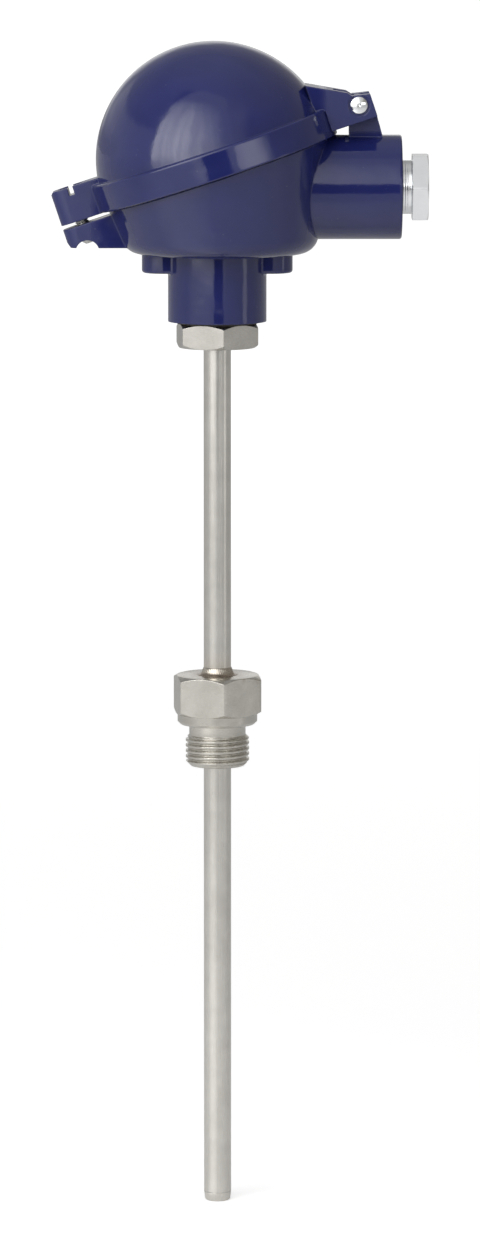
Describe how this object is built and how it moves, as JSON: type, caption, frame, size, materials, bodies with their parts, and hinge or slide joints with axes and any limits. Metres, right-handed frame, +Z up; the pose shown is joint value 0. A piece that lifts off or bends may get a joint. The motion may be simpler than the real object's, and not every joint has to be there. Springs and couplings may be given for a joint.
{
  "type": "rtd probe with head",
  "caption": "Screw-in resistance thermometer: a steel protection tube with a pipe-thread connection and a hinged-lid connection head with a cable entry.",
  "frame": {"origin": "centre of the sealing face of the process connection", "axes": "+Z up along the stem towards the head, +X towards the cable entry and the lid hinge"},
  "size_m": [0.1232, 0.082, 0.3848],
  "materials": {
    "blue_paint": "gloss",
    "stainless": "satin",
    "nickel": "polished",
    "zinc_steel": "satin",
    "brass": "satin",
    "black_rubber": "matte",
    "ceramic": "matte",
    "fibre": "matte",
    "lead_copper": "satin"
  },
  "bodies": {
    "head": {"housing": "blue_paint", "gland_screw": "nickel", "gland_washer": "zinc_steel", "gland_seal": "black_rubber", "neck_gasket": "fibre", "neck_adapter": "stainless", "protection_tube": "stainless", "process_connection": "stainless", "tube_tip": "stainless", "insert_screws": "zinc_steel", "insert_springs": "zinc_steel", "ground_screw": "zinc_steel", "ground_washer": "zinc_steel"},
    "lid": {"lid": "blue_paint", "lid_gasket": "black_rubber", "hinge_pin": "nickel", "hinge_clip": "zinc_steel"},
    "closing_washer": {"closing_washer": "zinc_steel"},
    "closing_screw": {"closing_screw": "zinc_steel"},
    "insert": {"insert_flange": "stainless", "insert_sheath": "stainless", "insulation_core": "ceramic", "sensor_element": "ceramic", "lead_wires": "lead_copper", "terminal_base": "ceramic", "terminals": "brass", "terminal_screws": "nickel"}
  },
  "joints": [
    {"name": "lid_hinge", "type": "hinge", "parent": "head", "child": "lid", "pos_m": [0.04609, 0, 0.20431], "axis": [0, 1, 0], "range_deg": [0, 180]},
    {"name": "closing_screw_travel", "type": "slide", "parent": "lid", "child": "closing_washer", "axis": [-0.3173, 0, 0.9483], "range_m": [0, 0.0068]},
    {"name": "closing_screw_turn", "type": "hinge", "parent": "closing_washer", "child": "closing_screw", "pos_m": [-0.04605, 0, 0.17116], "axis": [-0.3173, 0, 0.9483], "range_deg": [0, 3060.1]},
    {"name": "insert_lift", "type": "slide", "parent": "head", "child": "insert", "axis": [0, 0, 1], "range_m": [0, 0.006], "stiffness_N_per_m": 2500, "springref_m": -0.003, "deforming": ["insert_springs"]}
  ],
  "couplings": [
    {"joint": "closing_screw_turn", "follows": "closing_screw_travel", "rad_per_m": 7854}
  ]
}
